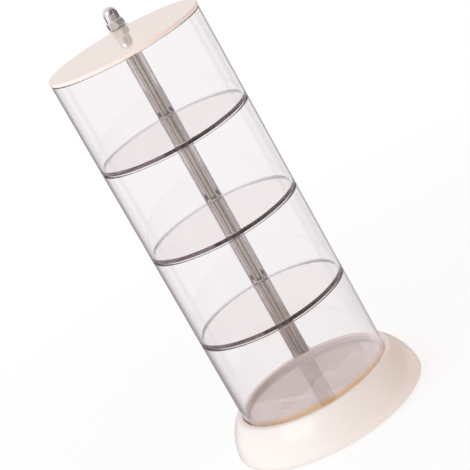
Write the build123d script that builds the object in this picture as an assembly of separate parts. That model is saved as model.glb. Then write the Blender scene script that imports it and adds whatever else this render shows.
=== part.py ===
"""Desk organizer: four clear cups and a lid that swing round one upright rod at the back of a round base.

Millimetres, +Z up. The origin lies on the floor under the middle of the base, and the rod stands at +Y.
"""
from build123d import *
import math
import os

# Clear cups, stacked one on another
cup_count = 4
cup_radius = 45.0
cup_height = 54.9
cup_wall = 1.8
cup_floor = 1.7
cup_foot_round = 0.4
cup_rim_round = 0.4
cup_inner_round = 0.6

# Hinge: a steel rod in a lug that is moulded on the back of each cup
rod_radius = 3.0
hinge_clearance = 0.05
lug_wall = 1.35
lug_sunk = 0.2
lug_root_round = 1.6

# Washers that keep the tiers apart, thinner under the lid, with their free play on each side
washer_thickness = 0.8
lid_washer_thickness = 0.2
washer_play = 0.05

# Lid
lid_thickness = 2.1
lid_overhang = 0.2
lid_edge_round = 0.5
lid_ear_wall = 3.1
lid_ear_round = 3.0

# Cap nut on the rod's upper end
nut_sides = 6
nut_across_flats = 9.5
nut_hex_height = 5.1
nut_barrel_sag = 1.2
nut_corner_round = 0.4
nut_turn_degrees = 13.0
nut_dome_radius = 4.15
nut_dome_height = 7.9
nut_play = 0.1
stud_radius = 2.5
stud_length = 8.6
nut_bore_spare = 0.6
thread_clearance = 0.05

# Base shell
base_height = 22.7
base_wall = 2.6
base_side_bulge = 2.4
base_bottom_round = 3.0
base_rim_flat = 2.3
lip_width = 3.3
lip_outer_round = 1.2
lip_inner_round = 0.8
recess_depth = 4.6
recess_clearance = 0.3
recess_slab = 2.6
lug_to_lip = 0.1

# Boss that holds the rod in the base
boss_wall = 3.4
boss_top_round = 0.6
boss_to_edge = 2.7
ledge_thickness = 4.0

# Screw and washer that hold the rod from below
rod_screw_radius = 2.0
rod_screw_grip = 7.0
rod_screw_spare = 2.0
rod_screw_head_radius = 3.8
rod_screw_head_height = 2.6
rod_screw_hole_clearance = 0.2
rod_screw_head_gap = 1.2
rod_washer_radius = 4.6
rod_washer_thickness = 0.8
rod_washer_pocket_clearance = 0.6
rod_end_chamfer = 0.5

# Bottom cover
cover_thickness = 2.4
cover_clearance = 0.2
cover_edge_chamfer = 0.4

# Screws that hold the cover, and the pillars they bite in
cover_screw_count = 4
cover_screw_turn_degrees = 45.0
cover_screw_radius = 1.5
cover_screw_length = 8.0
cover_screw_head_radius = 2.8
cover_screw_head_height = 1.3
cover_screw_head_sunk = 0.2
cover_screw_head_clearance = 0.2
cover_hole_clearance = 0.2
pillar_radius = 3.6
pillar_inset = 13.0
pilot_spare = 1.0

# Drive slots in the screw heads
drive_slot_width = 0.9
drive_slot_share_of_head = 0.7
drive_slot_depth = 0.7
screw_head_round = 0.4

# Soft feet, glued in shallow pockets of the cover
foot_count = 4
foot_turn_degrees = 0.0
foot_radius = 7.0
foot_thickness = 2.0
foot_pocket_depth = 1.0
foot_pocket_clearance = 0.15
foot_edge_round = 0.4
foot_inset = 9.7

# Plan sizes that follow
bore_radius = rod_radius + hinge_clearance
lug_radius = bore_radius + lug_wall
hinge_y = cup_radius + lug_radius - lug_sunk
cup_inner_radius = cup_radius - cup_wall
lid_radius = cup_radius + lid_overhang
lid_ear_radius = bore_radius + lid_ear_wall
recess_radius = cup_radius + recess_clearance
lip_radius = recess_radius + lip_width
boss_radius = rod_radius + boss_wall
base_radius = hinge_y + boss_radius + boss_to_edge
opening_radius = base_radius - base_bottom_round - base_rim_flat
cover_radius = opening_radius - cover_clearance
pillar_circle = opening_radius - pillar_inset
foot_circle = cover_radius - foot_inset

# Heights that follow
rim_z = foot_thickness - foot_pocket_depth
lip_z = rim_z + base_height
seat_z = lip_z - recess_depth
ceiling_z = seat_z - recess_slab
cover_top_z = rim_z + cover_thickness
tier_gap = washer_thickness + 2 * washer_play
tier_pitch = cup_height + tier_gap
cups_top_z = seat_z + cup_count * tier_pitch - tier_gap
lid_z = cups_top_z + lid_washer_thickness + 2 * washer_play
lid_top_z = lid_z + lid_thickness
shoulder_z = lid_top_z + nut_play
rod_screw_head_z = cover_top_z + rod_screw_head_gap
rod_washer_z = rod_screw_head_z + rod_screw_head_height
boss_bottom_z = rod_washer_z + rod_washer_thickness
rod_foot_z = boss_bottom_z + ledge_thickness

# How far a cutting solid runs past the face that it cuts, and a joined one into what it joins
past = 1.0
into = 0.5

hinge_line = Pos(0, hinge_y, 0)


def disc(radius, bottom_z, top_z):
    """Upright cylinder on the Z axis between two heights."""
    return Pos(0, 0, bottom_z) * extrude(Circle(radius), top_z - bottom_z)


def around(count, circle_radius, first_degrees):
    """Places evenly spaced on a circle about the Z axis."""
    step = 360 / count
    return [
        Pos(
            circle_radius * math.cos(math.radians(first_degrees + step * index)),
            circle_radius * math.sin(math.radians(first_degrees + step * index)),
            0,
        )
        for index in range(count)
    ]


cover_screw_places = around(cover_screw_count, pillar_circle, cover_screw_turn_degrees)
foot_places = around(foot_count, foot_circle, foot_turn_degrees)


def corner(sketch, x, y):
    """The vertex of a sketch that lies nearest to a place in its own plane."""
    return sketch.vertices().sort_by_distance((x, y, 0))[0]


def revolved(section):
    """Solid of revolution about Z of a section drawn with radius as X and height as Y."""
    return revolve(Plane.XZ * section, Axis.Z)


def lug_plan(body_radius, ear_radius, root_round):
    """Outline of a round body with one lug about the hinge line, its roots rounded into the body."""
    web_length = hinge_y - body_radius / 2
    web = Pos(0, hinge_y - web_length / 2) * Rectangle(2 * ear_radius, web_length)
    outline = Circle(body_radius) + web + Pos(0, hinge_y) * Circle(ear_radius)
    root_y = math.sqrt(body_radius**2 - ear_radius**2)
    roots = [corner(outline, -ear_radius, root_y), corner(outline, ear_radius, root_y)]
    return fillet(roots, root_round)


def cup_hollow():
    """Inside of one cup that stands at zero height, open upwards, with its floor rounded into the wall."""
    section = Polygon(
        (0, cup_floor),
        (cup_inner_radius, cup_floor),
        (cup_inner_radius, cup_height + past),
        (0, cup_height + past),
        align=None,
    )
    return revolved(fillet(corner(section, cup_inner_radius, cup_floor), cup_inner_round))


def bottom_rounded(body, radius):
    """The body with the edges of its lowest face rounded."""
    return fillet(body.edges().group_by(Axis.Z)[0], radius)


def cup_outside(bottom_z, lug_bottom_z):
    """Outer shape of one cup, whose lug may start above the cup's foot."""
    plan = lug_plan(cup_radius, lug_radius, lug_root_round)
    body = Pos(0, 0, lug_bottom_z) * extrude(plan, bottom_z + cup_height - lug_bottom_z)
    if lug_bottom_z > bottom_z:
        body = body + bottom_rounded(disc(cup_radius, bottom_z, lug_bottom_z), cup_foot_round)
    else:
        body = bottom_rounded(body, cup_foot_round)
    return fillet(body.edges().group_by(Axis.Z)[-1], cup_rim_round)


def cup(bottom_z, lug_bottom_z):
    """One clear cup with the bore of its lug."""
    body = cup_outside(bottom_z, lug_bottom_z) - Pos(0, 0, bottom_z) * cup_hollow()
    body = body - hinge_line * disc(bore_radius, lug_bottom_z - past, bottom_z + cup_height + past)
    rim_circles = body.edges().group_by(Axis.Z)[-1].filter_by(GeomType.CIRCLE)
    inner_rim = rim_circles.sort_by(lambda edge: abs(edge.radius - cup_inner_radius))[0]
    return fillet(inner_rim, cup_rim_round)


def lid():
    """Flat lid with a rounded ear that the rod passes through."""
    plate = Pos(0, 0, lid_z) * extrude(lug_plan(lid_radius, lid_ear_radius, lid_ear_round), lid_thickness)
    top_and_bottom = plate.edges().group_by(Axis.Z)[-1] + plate.edges().group_by(Axis.Z)[0]
    plate = fillet(top_and_bottom, lid_edge_round)
    return plate - hinge_line * disc(bore_radius, lid_z - past, lid_top_z + past)


def washer(bottom_z, thickness):
    """Slippery washer on the rod between two lugs, or under the lid."""
    ring = Circle(lug_radius) - Circle(bore_radius)
    return hinge_line * Pos(0, 0, bottom_z) * extrude(ring, thickness)


def hinge_rod():
    """Steel rod, tapped at its foot, with a thinner threaded stud above its shoulder."""
    shank = disc(rod_radius, rod_foot_z, shoulder_z)
    shank = chamfer(shank.edges().group_by(Axis.Z)[0], rod_end_chamfer)
    stud = disc(stud_radius, shoulder_z - into, shoulder_z + stud_length)
    stud = chamfer(stud.edges().group_by(Axis.Z)[-1], rod_end_chamfer)
    tapped_top_z = rod_foot_z + rod_screw_grip + rod_screw_spare
    tapped_hole = disc(rod_screw_radius + thread_clearance, rod_foot_z - past, tapped_top_z)
    return hinge_line * (shank + stud - tapped_hole)


def cap_nut():
    """Domed hexagon nut, its hexagon rounded to a barrel and at its corners."""
    hex_corner_radius = nut_across_flats / 2 / math.cos(math.pi / nut_sides)
    corner_to_front_degrees = -90
    hexagon_plan = RegularPolygon(hex_corner_radius, nut_sides)
    hexagon_plan = fillet(hexagon_plan.vertices(), nut_corner_round)
    hexagon_plan = Rot(0, 0, corner_to_front_degrees + nut_turn_degrees) * hexagon_plan
    prism = Pos(0, 0, shoulder_z) * extrude(hexagon_plan, nut_hex_height)
    dome_z = shoulder_z + nut_hex_height
    rim_radius = hex_corner_radius - nut_barrel_sag
    low = (rim_radius, shoulder_z)
    widest = (hex_corner_radius, shoulder_z + nut_hex_height / 2)
    high = (rim_radius, dome_z)
    barrel = ThreePointArc(low, widest, high) + Polyline(high, (0, dome_z), (0, shoulder_z), low)
    hexagon = prism & revolved(make_face(barrel))
    neck_top_z = dome_z + nut_dome_height - nut_dome_radius
    neck = disc(nut_dome_radius, dome_z - into, neck_top_z)
    dome = neck + Pos(0, 0, neck_top_z) * Sphere(nut_dome_radius)
    bore = disc(stud_radius + thread_clearance, shoulder_z - past, shoulder_z + stud_length + nut_bore_spare)
    return hinge_line * (hexagon + dome - bore)


def base_section():
    """Half section of the base as a solid: rim, bulging side, lip and the recess for the lowest cup."""
    low = Vector(base_radius, rim_z)
    high = Vector(lip_radius, lip_z)
    along = (high - low).normalized()
    outwards = Vector(along.Y, -along.X)
    bulge = (low + high) / 2 + outwards * base_side_bulge
    side = ThreePointArc((low.X, low.Y), (bulge.X, bulge.Y), (high.X, high.Y))
    lip_and_recess = Polyline(
        (high.X, high.Y),
        (recess_radius, lip_z),
        (recess_radius, seat_z),
        (0, seat_z),
        (0, rim_z),
        (low.X, low.Y),
    )
    section = make_face(side + lip_and_recess)
    section = fillet(corner(section, base_radius, rim_z), base_bottom_round)
    section = fillet(corner(section, lip_radius, lip_z), lip_outer_round)
    return fillet(corner(section, recess_radius, lip_z), lip_inner_round)


def base_cavity():
    """Hollow of the base: the solid's shape less its wall, up to the slab under the recess."""
    inset = offset(base_section(), amount=-base_wall)
    column = disc(opening_radius, rim_z - past, ceiling_z)
    mouth = disc(opening_radius, rim_z - past, rim_z + base_wall + into)
    return (revolved(inset) & column) + mouth


def base_shell():
    """Moulded base with the boss for the rod and the pillars for the cover's screws."""
    boss = disc(boss_radius, boss_bottom_z, lip_z)
    boss = fillet(boss.edges().group_by(Axis.Z)[-1], boss_top_round)
    shell = revolved(base_section()) - base_cavity() + hinge_line * boss
    shell = shell - disc(recess_radius, seat_z, lip_z + past)
    shell = shell - hinge_line * disc(rod_radius + hinge_clearance, rod_foot_z, lip_z + past)
    screw_hole_radius = rod_screw_radius + rod_screw_hole_clearance
    shell = shell - hinge_line * disc(screw_hole_radius, boss_bottom_z - past, rod_foot_z + past)
    washer_pocket_radius = rod_washer_radius + rod_washer_pocket_clearance
    shell = shell - hinge_line * disc(washer_pocket_radius, rim_z - past, boss_bottom_z)
    pilot_top_z = rim_z + cover_screw_head_sunk + cover_screw_head_height + cover_screw_length + pilot_spare
    for place in cover_screw_places:
        pillar = disc(pillar_radius, cover_top_z, ceiling_z + into)
        pilot = disc(cover_screw_radius + thread_clearance, cover_top_z - past, pilot_top_z)
        shell = shell + place * pillar - place * pilot
    return shell


def base_cover():
    """Bottom plate with sunk seats for its screws and pockets for the feet."""
    plate = disc(cover_radius, rim_z, cover_top_z)
    plate = chamfer(plate.edges().group_by(Axis.Z)[0], cover_edge_chamfer)
    seat_radius = cover_screw_head_radius + cover_screw_head_clearance
    seat_top_z = rim_z + cover_screw_head_sunk + cover_screw_head_height
    for place in cover_screw_places:
        plate = plate - place * disc(seat_radius, rim_z - past, seat_top_z)
        plate = plate - place * disc(cover_screw_radius + cover_hole_clearance, rim_z, cover_top_z + past)
    for place in foot_places:
        pocket = disc(foot_radius + foot_pocket_clearance, rim_z - past, rim_z + foot_pocket_depth)
        plate = plate - place * pocket
    return plate


def driven_head(radius, height, bottom_z):
    """Round screw head that faces down, with a cross slot in its lower face."""
    head = bottom_rounded(disc(radius, bottom_z, bottom_z + height), screw_head_round)
    slot_length = 2 * radius * drive_slot_share_of_head
    for turn in (0, 90):
        slot = Rot(0, 0, turn) * Rectangle(slot_length, drive_slot_width)
        head = head - Pos(0, 0, bottom_z - past) * extrude(slot, past + drive_slot_depth)
    return head


def rod_screw():
    """Screw that pulls the rod down on the ledge of its boss."""
    head = driven_head(rod_screw_head_radius, rod_screw_head_height, rod_screw_head_z)
    shank = disc(rod_screw_radius, rod_washer_z - into, rod_foot_z + rod_screw_grip)
    return hinge_line * (head + shank)


def rod_washer():
    """Flat washer between that screw's head and the boss."""
    ring = Circle(rod_washer_radius) - Circle(rod_screw_radius + rod_screw_hole_clearance)
    return hinge_line * Pos(0, 0, rod_washer_z) * extrude(ring, rod_washer_thickness)


def cover_screw():
    """One screw of the cover, on the Z axis."""
    head_z = rim_z + cover_screw_head_sunk
    neck_z = head_z + cover_screw_head_height
    head = driven_head(cover_screw_head_radius, cover_screw_head_height, head_z)
    return head + disc(cover_screw_radius, neck_z - into, neck_z + cover_screw_length)


def foot():
    """One soft foot, on the Z axis, its lower edge rounded."""
    return bottom_rounded(disc(foot_radius, 0, foot_thickness), foot_edge_round)


def build():
    """Every piece by its name."""
    pieces = {
        "base_shell": base_shell(),
        "base_cover": base_cover(),
        "hinge_rod": hinge_rod(),
        "rod_screw": rod_screw(),
        "rod_washer": rod_washer(),
        "lid": lid(),
        "cap_nut": cap_nut(),
    }
    screws = [place * cover_screw() for place in cover_screw_places]
    pieces["cover_screws"] = Compound(children=screws)
    for index, place in enumerate(foot_places):
        pieces[f"foot_{index + 1}"] = place * foot()
    for index in range(cup_count):
        bottom_z = seat_z + index * tier_pitch
        lug_bottom_z = lip_z + lug_to_lip if index == 0 else bottom_z
        pieces[f"cup_{index + 1}"] = cup(bottom_z, lug_bottom_z)
        thickness = lid_washer_thickness if index == cup_count - 1 else washer_thickness
        pieces[f"washer_{index + 1}"] = washer(bottom_z + cup_height + washer_play, thickness)
    return pieces


os.makedirs("parts", exist_ok=True)
for name, piece in build().items():
    export_step(piece, f"parts/{name}.step")
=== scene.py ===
"""Looks of a desk organizer, four clear cups and a lid on one rod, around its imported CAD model."""

import math

import bmesh
import bpy
from mathutils import Matrix, Vector


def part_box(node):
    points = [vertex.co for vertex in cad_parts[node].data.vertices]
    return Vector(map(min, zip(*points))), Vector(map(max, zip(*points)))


bl_info = {
    "name": "Clear Cup Organizer",
    "version": (1, 0, 0),
    "blender": (4, 5, 0),
    "location": "View3D > Sidebar > Organizer",
    "description": "Finishes the pieces of a desk organizer with swinging clear cups",
    "category": "Object",
}

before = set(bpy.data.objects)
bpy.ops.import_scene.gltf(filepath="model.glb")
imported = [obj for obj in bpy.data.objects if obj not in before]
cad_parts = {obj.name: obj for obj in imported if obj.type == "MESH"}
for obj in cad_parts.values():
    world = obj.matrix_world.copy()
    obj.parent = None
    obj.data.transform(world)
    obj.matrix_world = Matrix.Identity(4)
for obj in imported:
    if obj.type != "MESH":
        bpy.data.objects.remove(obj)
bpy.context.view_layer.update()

CUPS = ("cup_1", "cup_2", "cup_3", "cup_4")
WASHERS = ("washer_1", "washer_2", "washer_3", "washer_4")
FEET = ("foot_1", "foot_2", "foot_3", "foot_4")

# Places that the looks need, in metres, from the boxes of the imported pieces
RECESS_ROOM = 0.0004
GREASE_FILM = 0.00015
CUP_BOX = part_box("cup_1")
ROD_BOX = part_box("hinge_rod")
RECESS_RADIUS = CUP_BOX[1].x + RECESS_ROOM
SEAT_Z = CUP_BOX[0].z
LIP_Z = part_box("base_shell")[1].z
HINGE = ((ROD_BOX[0] + ROD_BOX[1]) / 2).to_2d().to_3d()
GREASED_RADIUS = ROD_BOX[1].x + GREASE_FILM

# Painted warm shade of the recess, for light that comes off cream many times: distances from a place
# towards the hinge at which it starts and is full
PAINTED_SHADE_MIDDLE = (-0.001, 0.022, 0.0)
PAINTED_SHADE_START = 0.0455
PAINTED_SHADE_FULL = 0.056
SEAT_MARGIN = 0.0005
LIP_MARGIN = 0.0008

# Heights of the fine relief of surfaces, in metres
PEEL_HEIGHT = 0.0002
MARK_HEIGHT = 0.00005

# Floor, in metres: its size, where the shadow fades to white, and from where on only the nut mirrors it
FLOOR_RADIUS = 6.0
FLOOR_SIDES = 64
SHADOW_FADES = 0.15
SHADOW_GONE = 0.5
NUT_FLOOR = 1.64

# Shift that counts the directions on the mirrored floor from a place in front of the cups
MIRROR_SHIFT = (0.0, 0.16, 0.0)

# Light that the floor sends up to the object
FLOOR_BOUNCE = (0.94, 0.92, 0.91)
FLOOR_GLOW = 0.30

# Camera's sensor in millimetres, its nearest distance and the height that the lamps look at in metres
SENSOR_WIDTH = 36.0
CLIP_START = 0.01
LAMP_TARGET = 0.12

# How often light may bounce before it is dropped
BOUNCES = {
    "max_bounces": 40,
    "glossy_bounces": 24,
    "transmission_bounces": 24,
    "transparent_max_bounces": 32,
}

WHITE = (1.0, 1.0, 1.0)

# Glossy depth above which light has come off a glossy surface
MIRRORED_ONCE = 0.5


def colour_property(name, description, default):
    """A colour that a user may change."""
    return bpy.props.FloatVectorProperty(
        name=name, description=description, default=default, subtype="COLOR", size=3, min=0.0, max=1.0
    )


def share_property(name, description, default):
    """A number from 0 to 1 that a user may change."""
    return bpy.props.FloatProperty(
        name=name, description=description, default=default, min=0.0, max=1.0, subtype="FACTOR"
    )


def angle_property(name, description, degrees):
    """An angle that a user may change."""
    return bpy.props.FloatProperty(
        name=name, description=description, default=math.radians(degrees), subtype="ANGLE"
    )


def length_property(name, description, default):
    """A length in metres that a user may change."""
    return bpy.props.FloatProperty(
        name=name, description=description, default=default, min=0.0, unit="LENGTH", precision=5
    )


class PlasticLooks(bpy.types.PropertyGroup):
    """Colours and gloss of the moulded pieces."""

    base_cream: colour_property("Base cream", "Colour of the base and its cover", (0.866, 0.810, 0.765))
    lid_cream: colour_property("Lid cream", "Colour of the lid", (0.885, 0.767, 0.702))
    base_gloss: share_property("Base roughness", "Roughness of the base and its cover", 0.22)
    lid_gloss: share_property("Lid roughness", "Roughness of the polished lid", 0.04)
    # Painted shade: amber colour of the recess near its wall, for light that comes off cream many times
    recess_painted_shade: colour_property("Recess amber", "Tint of the recess near its wall", (0.90, 0.60, 0.24))
    clear_face: colour_property(
        "Clear face", "Tint of light that enters or leaves clear plastic", (0.999, 0.990, 0.991)
    )
    clear_edge: colour_property(
        "Clear edge", "What is left of white light inside clear plastic", (0.52, 0.42, 0.47)
    )
    clear_density: bpy.props.FloatProperty(
        name="Clear density", description="How fast clear plastic takes off light, per metre",
        default=36.0, min=0.0,
    )
    nylon: colour_property("Nylon", "Colour of the washers between the cups", (0.84, 0.82, 0.78))
    silicone: colour_property("Silicone", "Colour of the soft feet", (0.72, 0.71, 0.69))


class MetalLooks(bpy.types.PropertyGroup):
    """Colours and gloss of the metal pieces."""

    chrome: colour_property("Chrome", "Colour of the plated cap nut", (0.76, 0.75, 0.745))
    chrome_gloss: share_property("Chrome roughness", "Roughness of the plated cap nut", 0.07)
    steel: colour_property("Steel", "Colour of the ground rod", (0.57, 0.53, 0.46))
    steel_gloss: share_property("Steel roughness", "Roughness of the ground rod", 0.24)
    zinc: colour_property("Zinc", "Colour of the plated screws", (0.60, 0.60, 0.58))
    zinc_gloss: share_property("Zinc roughness", "Roughness of the plated screws", 0.34)


class StageLooks(bpy.types.PropertyGroup):
    """Camera, lamps and floor."""

    lens: bpy.props.FloatProperty(
        name="Lens", description="Focal length in millimetres", default=143.9, min=1.0
    )
    camera_distance: length_property("Camera distance", "From the organizer's axis", 0.9984)
    camera_height: length_property("Camera height", "Above the floor", 0.3977)
    camera_azimuth: angle_property("Camera azimuth", "Round the organizer, towards +X", 2.0)
    camera_yaw: angle_property("Camera yaw", "How far the camera looks to the right of the axis", 0.095)
    camera_pitch: angle_property("Camera pitch", "How far the camera looks down", 15.57)
    camera_roll: angle_property("Camera roll", "How far the organizer's top leans to the left", 29.46)
    key_power: bpy.props.FloatProperty(
        name="Key power", description="Power of the large soft lamp on the left",
        default=2.2, unit="POWER",
    )
    fill_power: bpy.props.FloatProperty(
        name="Fill power", description="Power of the weak soft lamp on the right",
        default=0.3, unit="POWER",
    )
    floor_colour: colour_property("Floor", "Colour of the floor", (0.19, 0.19, 0.19))


LOOKS = {"plastic_looks": PlasticLooks, "metal_looks": MetalLooks, "stage_looks": StageLooks}


def looks(group):
    """The values of one property group of the scene."""
    return getattr(bpy.context.scene, group)


def opaque(colour):
    """A colour with its alpha."""
    return (*colour, 1.0)


def fill(tree, made, inputs):
    """Gives each named input its value, or joins it to the output that feeds it."""
    for name, value in inputs.items():
        if isinstance(value, bpy.types.NodeSocket):
            tree.links.new(value, made.inputs[name])
        else:
            made.inputs[name].default_value = value
    return made


def node(tree, kind, inputs, **settings):
    """A new node with its settings and its inputs."""
    made = tree.nodes.new("ShaderNode" + kind)
    for name, value in settings.items():
        setattr(made, name, value)
    return fill(tree, made, inputs)


def maths(tree, operation, *terms, clamp=False):
    """The result of one sum."""
    return node(tree, "Math", dict(enumerate(terms)), operation=operation, use_clamp=clamp).outputs[0]


def flattened(tree, place):
    """A place moved down to zero height."""
    return node(tree, "VectorMath", {0: place, 1: (1.0, 1.0, 0.0)}, operation="MULTIPLY").outputs[0]


def length(tree, vector):
    """Length of a vector."""
    return node(tree, "VectorMath", {0: vector}, operation="LENGTH").outputs["Value"]


def distance(tree, place, other):
    """Distance between two places."""
    return node(tree, "VectorMath", {0: place, 1: other}, operation="DISTANCE").outputs["Value"]


def between(tree, value, start, end, interpolation="LINEAR"):
    """How far a value has come from its start, which gives 0, to its end, which gives 1."""
    inputs = {"Value": value, "From Min": start, "From Max": end}
    return node(tree, "MapRange", inputs, interpolation_type=interpolation).outputs[0]


def mixed_colour(tree, share, first, second):
    """A colour from the first, at share 0, to the second, at share 1."""
    return node(tree, "Mix", {0: share, 6: first, 7: second}, data_type="RGBA").outputs[2]


def noise(tree, place, scale, detail, roughness=0.5, stretch=None):
    """Noise from 0 to 1, with features about 1 / scale metres wide."""
    if stretch:
        place = node(tree, "Mapping", {"Vector": place, "Scale": stretch}).outputs[0]
    inputs = {"Vector": place, "Scale": scale, "Detail": detail, "Roughness": roughness}
    return node(tree, "TexNoise", inputs).outputs[0]


def shaded(tree, colour, shade):
    """A colour multiplied by a shade."""
    mixed = node(tree, "Mix", {0: 1.0, 6: colour, 7: shade}, data_type="RGBA", blend_type="MULTIPLY")
    return mixed.outputs[2]


def bumped(tree, height, strength, relief):
    """A normal that follows a height, which stands out by its relief in metres."""
    return node(tree, "Bump", {"Height": height, "Strength": strength, "Distance": relief}).outputs[0]


def surface_group(name, amounts):
    """A new node group from a colour, a roughness and named amounts to a finished surface."""
    group = bpy.data.node_groups.new(name, "ShaderNodeTree")
    group.interface.new_socket("Color", in_out="INPUT", socket_type="NodeSocketColor")
    for amount in ("Roughness", *amounts):
        group.interface.new_socket(amount, in_out="INPUT", socket_type="NodeSocketFloat")
    group.interface.new_socket("Color", in_out="OUTPUT", socket_type="NodeSocketColor")
    group.interface.new_socket("Roughness", in_out="OUTPUT", socket_type="NodeSocketFloat")
    group.interface.new_socket("Normal", in_out="OUTPUT", socket_type="NodeSocketVector")
    given = group.nodes.new("NodeGroupInput").outputs
    place = group.nodes.new("ShaderNodeTexCoord").outputs["Object"]
    return group, given, place


def moulded_skin():
    """Faint unevenness of a polished moulding: its flow, its orange peel and its fine scuffs."""
    group, given, place = surface_group("Moulded Skin", ("Flow", "Scuffs", "Peel"))
    flow = maths(group, "MULTIPLY", noise(group, place, scale=34.0, detail=3.0), given["Flow"])
    scuffs = noise(group, place, scale=620.0, detail=4.0, roughness=0.7, stretch=(1.0, 1.0, 0.22))
    smears = noise(group, place, scale=70.0, detail=2.0)
    peel = noise(group, place, scale=420.0, detail=2.0)
    uneven = maths(group, "SUBTRACT", maths(group, "ADD", scuffs, smears), 1.0)
    roughness = maths(group, "MULTIPLY_ADD", uneven, given["Scuffs"], given["Roughness"], clamp=True)
    fill(group, group.nodes.new("NodeGroupOutput"), {
        "Color": shaded(group, given["Color"], maths(group, "SUBTRACT", 1.0, flow)),
        "Roughness": roughness,
        "Normal": bumped(group, peel, given["Peel"], PEEL_HEIGHT),
    })
    return group


def turned_metal():
    """Fine marks round the Z axis from grinding, with a little tarnish."""
    group, given, place = surface_group("Turned Metal", ("Marks", "Tarnish"))
    marks = noise(group, place, scale=2600.0, detail=3.0, roughness=0.65, stretch=(0.06, 0.06, 1.0))
    stains = noise(group, place, scale=90.0, detail=4.0, roughness=0.6)
    tarnish = maths(group, "MULTIPLY", stains, given["Tarnish"])
    uneven = maths(group, "SUBTRACT", marks, 0.5)
    roughness = maths(group, "MULTIPLY_ADD", uneven, given["Marks"], given["Roughness"], clamp=True)
    fill(group, group.nodes.new("NodeGroupOutput"), {
        "Color": shaded(group, given["Color"], maths(group, "SUBTRACT", 1.0, tarnish)),
        "Roughness": roughness,
        "Normal": bumped(group, marks, given["Marks"], MARK_HEIGHT),
    })
    return group


SURFACES = {"Moulded Skin": moulded_skin, "Turned Metal": turned_metal}


def new_material(name, **constants):
    """A new material with its tree and its shader, whose plain inputs are set on its own sockets."""
    material = bpy.data.materials.new(name)
    material.use_nodes = True
    tree = material.node_tree
    tree.nodes.clear()
    inputs = {key.replace("_", " "): value for key, value in constants.items()}
    shader = node(tree, "BsdfPrincipled", inputs)
    node(tree, "OutputMaterial", {"Surface": shader.outputs[0]})
    return material, tree, shader


def with_surface(tree, shader, surface, **inputs):
    """Feeds a shader from one of the shared surfaces."""
    made = bpy.data.node_groups.get(surface) or SURFACES[surface]()
    effect = node(tree, "Group", {}, node_tree=made)
    fill(tree, effect, inputs)
    fill(tree, shader, {
        "Base Color": effect.outputs["Color"],
        "Roughness": effect.outputs["Roughness"],
        "Normal": effect.outputs["Normal"],
    })


def cream_plastic(name, colour, gloss, scuffs):
    """Glossy cream plastic."""
    material, tree, shader = new_material(name, IOR=1.5)
    with_surface(
        tree, shader, "Moulded Skin", Color=opaque(colour), Roughness=gloss,
        Flow=0.02, Scuffs=scuffs, Peel=0.03,
    )
    return material, tree, shader


def lid_plastic():
    """Polished cream plastic of the lid."""
    plastic = looks("plastic_looks")
    return cream_plastic("Cream Lid", plastic.lid_cream, plastic.lid_gloss, 0.02)[0]


def base_plastic():
    """Cream plastic of the base, with painted warm shade in the recess, strongest towards the front
    wall, for light that comes off cream many times.
    """
    plastic = looks("plastic_looks")
    material, tree, shader = cream_plastic("Cream Base", plastic.base_cream, plastic.base_gloss, 0.06)
    place = tree.nodes.new("ShaderNodeTexCoord").outputs["Object"]
    plan = flattened(tree, place)
    radius = length(tree, plan)
    # Painted shade: the cream turns amber near the recess wall and most at the front, where the lip
    # shades the seat
    outwards = between(tree, distance(tree, plan, PAINTED_SHADE_MIDDLE), PAINTED_SHADE_START, PAINTED_SHADE_FULL, "SMOOTHSTEP")
    inside = maths(tree, "LESS_THAN", radius, RECESS_RADIUS)
    height = node(tree, "SeparateXYZ", {0: place}).outputs["Z"]
    above = maths(tree, "GREATER_THAN", height, SEAT_Z - SEAT_MARGIN)
    below = between(tree, height, LIP_Z - LIP_MARGIN, SEAT_Z)
    in_plan = maths(tree, "MULTIPLY", outwards, inside)
    in_height = maths(tree, "MULTIPLY", above, below)
    share = maths(tree, "MULTIPLY", in_plan, in_height)
    cream = shader.inputs["Base Color"].links[0].from_socket
    painted_shade = mixed_colour(tree, share, cream, opaque(plastic.recess_painted_shade))
    tree.links.new(painted_shade, shader.inputs["Base Color"])
    return material


def greased_bore(tree):
    """1 on the bore of a cup's lug, whose film of grease joins the plastic to the rod for the light."""
    plan = flattened(tree, tree.nodes.new("ShaderNodeTexCoord").outputs["Object"])
    return maths(tree, "LESS_THAN", distance(tree, plan, HINGE), GREASED_RADIUS)


def clear_plastic():
    """Clear plastic of the cups, tinted where light runs far inside it, that lets lamps through."""
    plastic = looks("plastic_looks")
    material, tree, shader = new_material(
        "Clear Plastic", Base_Color=opaque(plastic.clear_face), Transmission_Weight=1.0,
        IOR=1.49, Roughness=0.0,
    )
    path = tree.nodes.new("ShaderNodeLightPath").outputs
    straight = node(tree, "BsdfTransparent", {"Color": opaque(plastic.clear_face)}).outputs[0]
    unlit = maths(tree, "MAXIMUM", path["Is Diffuse Ray"], path["Is Shadow Ray"])
    unbent = maths(tree, "MAXIMUM", unlit, greased_bore(tree))
    passed = node(tree, "MixShader", {0: unbent, 1: shader.outputs[0], 2: straight}).outputs[0]
    inside = node(
        tree, "VolumeAbsorption", {"Color": opaque(plastic.clear_edge), "Density": plastic.clear_density}
    )
    fill(tree, tree.nodes["Material Output"], {"Surface": passed, "Volume": inside.outputs[0]})
    return material


def chrome():
    """Bright plating of the cap nut."""
    metal = looks("metal_looks")
    material, tree, shader = new_material("Nut Chrome", Metallic=1.0)
    with_surface(
        tree, shader, "Turned Metal", Color=opaque(metal.chrome), Roughness=metal.chrome_gloss,
        Marks=0.05, Tarnish=0.05,
    )
    return material


def ground_steel():
    """Ground steel of the rod."""
    metal = looks("metal_looks")
    material, tree, shader = new_material("Ground Steel", Metallic=1.0)
    with_surface(
        tree, shader, "Turned Metal", Color=opaque(metal.steel), Roughness=metal.steel_gloss,
        Marks=0.05, Tarnish=0.06,
    )
    return material


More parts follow.
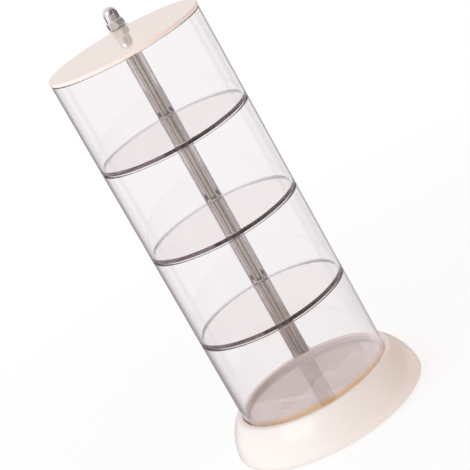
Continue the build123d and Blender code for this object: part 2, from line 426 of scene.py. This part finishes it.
def zinc_plate():
    """Dull plating of the screws and of the washer under the rod."""
    metal = looks("metal_looks")
    material, tree, shader = new_material("Zinc Plate", Metallic=1.0)
    with_surface(
        tree, shader, "Turned Metal", Color=opaque(metal.zinc), Roughness=metal.zinc_gloss,
        Marks=0.2, Tarnish=0.25,
    )
    return material


def nylon():
    """Milky nylon of the washers."""
    material, tree, shader = new_material(
        "Nylon", IOR=1.53, Subsurface_Weight=0.3, Subsurface_Scale=0.001
    )
    with_surface(
        tree, shader, "Moulded Skin", Color=opaque(looks("plastic_looks").nylon), Roughness=0.42,
        Flow=0.04, Scuffs=0.08, Peel=0.1,
    )
    return material


def silicone():
    """Soft grey silicone of the feet."""
    material, tree, shader = new_material(
        "Silicone", IOR=1.41, Subsurface_Weight=0.4, Subsurface_Scale=0.002
    )
    with_surface(
        tree, shader, "Moulded Skin", Color=opaque(looks("plastic_looks").silicone), Roughness=0.5,
        Flow=0.06, Scuffs=0.15, Peel=0.35,
    )
    return material


FINISHES = {
    "base": base_plastic,
    "lid": lid_plastic,
    "clear": clear_plastic,
    "chrome": chrome,
    "ground steel": ground_steel,
    "zinc": zinc_plate,
    "nylon": nylon,
    "silicone": silicone,
}
made_finishes = {}


def finish(name):
    """One of the finishes, made the first time it is asked for."""
    if name not in made_finishes:
        made_finishes[name] = FINISHES[name]()
    return made_finishes[name]


def dress(names, finish_name):
    """Gives CAD nodes their finish."""
    for name in names:
        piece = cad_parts[name]
        for place in piece.material_slots:
            place.material = finish(finish_name)


class ORGANIZER_OT_base(bpy.types.Operator):
    """Finish the base shell and its bottom cover"""

    bl_idname = "organizer.base"
    bl_label = "Base"

    def execute(self, context):
        dress(("base_shell", "base_cover"), "base")
        return {"FINISHED"}


class ORGANIZER_OT_cups(bpy.types.Operator):
    """Finish the four clear cups"""

    bl_idname = "organizer.cups"
    bl_label = "Cups"

    def execute(self, context):
        dress(CUPS, "clear")
        return {"FINISHED"}


class ORGANIZER_OT_lid(bpy.types.Operator):
    """Finish the lid"""

    bl_idname = "organizer.lid"
    bl_label = "Lid"

    def execute(self, context):
        dress(("lid",), "lid")
        return {"FINISHED"}


class ORGANIZER_OT_cap_nut(bpy.types.Operator):
    """Finish the cap nut"""

    bl_idname = "organizer.cap_nut"
    bl_label = "Cap nut"

    def execute(self, context):
        dress(("cap_nut",), "chrome")
        return {"FINISHED"}


class ORGANIZER_OT_rod(bpy.types.Operator):
    """Finish the hinge rod"""

    bl_idname = "organizer.rod"
    bl_label = "Hinge rod"

    def execute(self, context):
        dress(("hinge_rod",), "ground steel")
        return {"FINISHED"}


class ORGANIZER_OT_screws(bpy.types.Operator):
    """Finish the screws and the washer under the rod"""

    bl_idname = "organizer.screws"
    bl_label = "Screws"

    def execute(self, context):
        dress(("rod_screw", "rod_washer", "cover_screws"), "zinc")
        return {"FINISHED"}


class ORGANIZER_OT_washers(bpy.types.Operator):
    """Finish the washers between the cups"""

    bl_idname = "organizer.washers"
    bl_label = "Washers"

    def execute(self, context):
        dress(WASHERS, "nylon")
        return {"FINISHED"}


class ORGANIZER_OT_feet(bpy.types.Operator):
    """Finish the soft feet"""

    bl_idname = "organizer.feet"
    bl_label = "Feet"

    def execute(self, context):
        dress(FEET, "silicone")
        return {"FINISHED"}


def add_object(name, data):
    """A new object in the scene."""
    made = bpy.data.objects.new(name, data)
    bpy.context.scene.collection.objects.link(made)
    return made


def straight_view(tree):
    """1 for what the camera sees, also through clear plastic, and 0 for mirrored and scattered light."""
    path = tree.nodes.new("ShaderNodeLightPath").outputs
    unmirrored = maths(tree, "LESS_THAN", path["Glossy Depth"], MIRRORED_ONCE)
    through = maths(tree, "MULTIPLY", path["Is Transmission Ray"], unmirrored)
    return maths(tree, "MAXIMUM", path["Is Camera Ray"], through)


def is_mirrored(tree):
    """1 for light that comes off a glossy surface."""
    path = tree.nodes.new("ShaderNodeLightPath").outputs
    return maths(tree, "GREATER_THAN", path["Glossy Depth"], MIRRORED_ONCE)


def room(tree, direction, towards, middle, dark, bright):
    """Colour of the room by direction, from dark to bright along a vector."""
    along = node(tree, "VectorMath", {0: direction, 1: towards}, operation="DOT_PRODUCT")
    share = maths(tree, "ADD", along.outputs["Value"], middle, clamp=True)
    return mixed_colour(tree, share, opaque(dark), opaque(bright))


def emission(tree, colour, strength):
    """Plain light."""
    return node(tree, "Emission", {"Color": colour, "Strength": strength}).outputs[0]


def looked_at_floor(tree, away):
    """What the camera sees of the floor: white with the object's shadow, and just white farther away."""
    grey = looks("stage_looks").floor_colour
    shadowed = node(tree, "BsdfDiffuse", {"Color": opaque(grey)}).outputs[0]
    glow = emission(tree, opaque(WHITE), 1.0 - grey[0])
    near = node(tree, "AddShader", {0: shadowed, 1: glow}).outputs[0]
    far = between(tree, away, SHADOW_FADES, SHADOW_GONE)
    return node(tree, "MixShader", {0: far, 1: near, 2: emission(tree, opaque(WHITE), 1.0)}).outputs[0]


def bounced_floor(tree):
    """What the floor sends up to the object: scattered light, and a faint glow for the undersides."""
    lit = node(tree, "BsdfDiffuse", {"Color": opaque(FLOOR_BOUNCE)}).outputs[0]
    return node(tree, "AddShader", {0: lit, 1: emission(tree, opaque(WHITE), FLOOR_GLOW)}).outputs[0]


def mirrored_floor(tree, place, away):
    """What glossy pieces mirror of the floor: painted dark reflections, behind to darken the edges of
    the cups and on the right to darken the nut.
    """
    from_middle = node(tree, "VectorMath", {0: place, 1: MIRROR_SHIFT}, operation="ADD").outputs[0]
    aside = node(tree, "VectorMath", {0: from_middle}, operation="NORMALIZE").outputs[0]
    # Painted dark reflection: the floor behind shows darker only in glossy pieces, which darkens the
    # edges of the cups
    cups_painted_reflection = room(
        tree, aside, towards=(0.8, -9.0, 0.0), middle=8.75,
        dark=(0.38, 0.34, 0.37), bright=(1.0, 0.985, 0.98),
    )
    # Painted dark reflection: the far floor on the right shows darker only in glossy pieces, which
    # darkens the nut
    nut_painted_reflection = room(
        tree, aside, towards=(-2.5, -4.35, 0.0), middle=0.1,
        dark=(0.19, 0.165, 0.175), bright=(1.2, 1.2, 1.2),
    )
    outside = maths(tree, "GREATER_THAN", away, NUT_FLOOR)
    return emission(tree, mixed_colour(tree, outside, cups_painted_reflection, nut_painted_reflection), 1.0)


def floor_material():
    """Floor that is white for the camera, shows otherwise in glossy pieces, and is clear from below."""
    material = bpy.data.materials.new("Floor")
    material.use_nodes = True
    tree = material.node_tree
    tree.nodes.clear()
    place = tree.nodes.new("ShaderNodeTexCoord").outputs["Object"]
    away = length(tree, place)
    unseen = node(tree, "MixShader", {
        0: is_mirrored(tree), 1: bounced_floor(tree), 2: mirrored_floor(tree, place, away),
    }).outputs[0]
    upper = node(tree, "MixShader", {
        0: straight_view(tree), 1: unseen, 2: looked_at_floor(tree, away),
    }).outputs[0]
    below = tree.nodes.new("ShaderNodeNewGeometry").outputs["Backfacing"]
    through = node(tree, "BsdfTransparent", {}).outputs[0]
    surface = node(tree, "MixShader", {0: below, 1: upper, 2: through})
    node(tree, "OutputMaterial", {"Surface": surface.outputs[0]})
    return material


def surroundings():
    """White background, a room that lights from the left, and a darker one that is mirrored."""
    world = bpy.data.worlds.new("Studio")
    bpy.context.scene.world = world
    world.use_nodes = True
    tree = world.node_tree
    tree.nodes.clear()
    direction = tree.nodes.new("ShaderNodeTexCoord").outputs["Generated"]
    lighting = room(
        tree, direction, towards=(-0.82, -0.30, 0.56), middle=0.43,
        dark=(0.47, 0.25, 0.145), bright=(0.88, 0.918, 0.948),
    )
    mirrored = room(
        tree, direction, towards=(-0.9, 0.6, 0.2), middle=0.72,
        dark=(0.19, 0.17, 0.18), bright=(0.96, 0.91, 0.90),
    )
    around = mixed_colour(tree, is_mirrored(tree), lighting, mirrored)
    shown = mixed_colour(tree, straight_view(tree), around, opaque(WHITE))
    back = node(tree, "Background", {"Color": shown, "Strength": 1.0})
    node(tree, "OutputWorld", {"Surface": back.outputs[0]})


def aimed(azimuth_degrees, elevation_degrees, reach, height):
    """Matrix of a lamp that stands round the object and looks at its axis. Azimuth 0 looks along +Y."""
    azimuth = math.radians(azimuth_degrees)
    elevation = math.radians(elevation_degrees)
    sideways = math.cos(elevation)
    back = Vector((math.sin(azimuth) * sideways, -math.cos(azimuth) * sideways, math.sin(elevation)))
    turned = (-back).to_track_quat("-Z", "Y").to_matrix().to_4x4()
    return Matrix.Translation(Vector((0.0, 0.0, height)) + back * reach) @ turned


def softbox(name, power, size, colour, **stand):
    """One rectangular soft lamp."""
    lamp = bpy.data.lights.new(name, "AREA")
    lamp.shape = "RECTANGLE"
    lamp.size, lamp.size_y = size
    lamp.energy = power
    lamp.color = colour
    add_object(name, lamp).matrix_world = aimed(**stand)


class ORGANIZER_OT_stage(bpy.types.Operator):
    """Set up the camera, the lamps, the floor and the white surroundings"""

    bl_idname = "organizer.stage"
    bl_label = "Stage"

    def execute(self, context):
        stage = looks("stage_looks")
        view = bpy.data.cameras.new("Camera")
        view.lens = stage.lens
        view.sensor_width = SENSOR_WIDTH
        view.clip_start = CLIP_START
        camera = add_object("Camera", view)
        heading = Matrix.Rotation(stage.camera_azimuth - stage.camera_yaw, 4, "Z")
        tilt = Matrix.Rotation(math.pi / 2 - stage.camera_pitch, 4, "X")
        roll = Matrix.Rotation(-stage.camera_roll, 4, "Z")
        stand = Vector((
            stage.camera_distance * math.sin(stage.camera_azimuth),
            -stage.camera_distance * math.cos(stage.camera_azimuth),
            stage.camera_height,
        ))
        camera.matrix_world = Matrix.Translation(stand) @ heading @ tilt @ roll
        context.scene.camera = camera

        shape = bmesh.new()
        bmesh.ops.create_circle(shape, cap_ends=True, segments=FLOOR_SIDES, radius=FLOOR_RADIUS)
        mesh = bpy.data.meshes.new("floor")
        shape.to_mesh(mesh)
        shape.free()
        mesh.materials.append(floor_material())
        add_object("floor", mesh)

        softbox(
            "key", stage.key_power, size=(0.62, 0.50), colour=(0.99, 1.0, 1.02),
            azimuth_degrees=-50.0, elevation_degrees=38.0, reach=0.9, height=LAMP_TARGET,
        )
        softbox(
            "fill", stage.fill_power, size=(0.3, 0.6), colour=(1.0, 0.72, 0.52),
            azimuth_degrees=62.0, elevation_degrees=18.0, reach=1.0, height=LAMP_TARGET,
        )
        surroundings()
        context.scene.view_settings.view_transform = "Standard"
        for limit, bounces in BOUNCES.items():
            setattr(context.scene.cycles, limit, bounces)
        return {"FINISHED"}


OPERATORS = (
    ORGANIZER_OT_base, ORGANIZER_OT_cups, ORGANIZER_OT_lid, ORGANIZER_OT_cap_nut, ORGANIZER_OT_rod,
    ORGANIZER_OT_screws, ORGANIZER_OT_washers, ORGANIZER_OT_feet, ORGANIZER_OT_stage,
)


class ORGANIZER_PT_pieces(bpy.types.Panel):
    """Pieces of the organizer and their looks"""

    bl_label = "Organizer"
    bl_idname = "ORGANIZER_PT_pieces"
    bl_space_type = "VIEW_3D"
    bl_region_type = "UI"
    bl_category = "Organizer"

    def draw(self, context):
        for operator in OPERATORS:
            self.layout.operator(operator.bl_idname)
        for group, kind in LOOKS.items():
            column = self.layout.column()
            for name in kind.__annotations__:
                column.prop(getattr(context.scene, group), name)


CLASSES = (*LOOKS.values(), *OPERATORS, ORGANIZER_PT_pieces)


def register():
    """Adds the classes and their properties."""
    for kind in CLASSES:
        bpy.utils.register_class(kind)
    for group, kind in LOOKS.items():
        setattr(bpy.types.Scene, group, bpy.props.PointerProperty(type=kind))


def unregister():
    """Takes the classes and their properties away."""
    for group in LOOKS:
        delattr(bpy.types.Scene, group)
    for kind in reversed(CLASSES):
        bpy.utils.unregister_class(kind)


def main():
    """Registers the classes and finishes every piece in order, then sets up the stage."""
    register()
    for operator in OPERATORS:
        getattr(bpy.ops.organizer, operator.bl_idname.split(".")[1])()


if __name__ == "__main__":
    main()
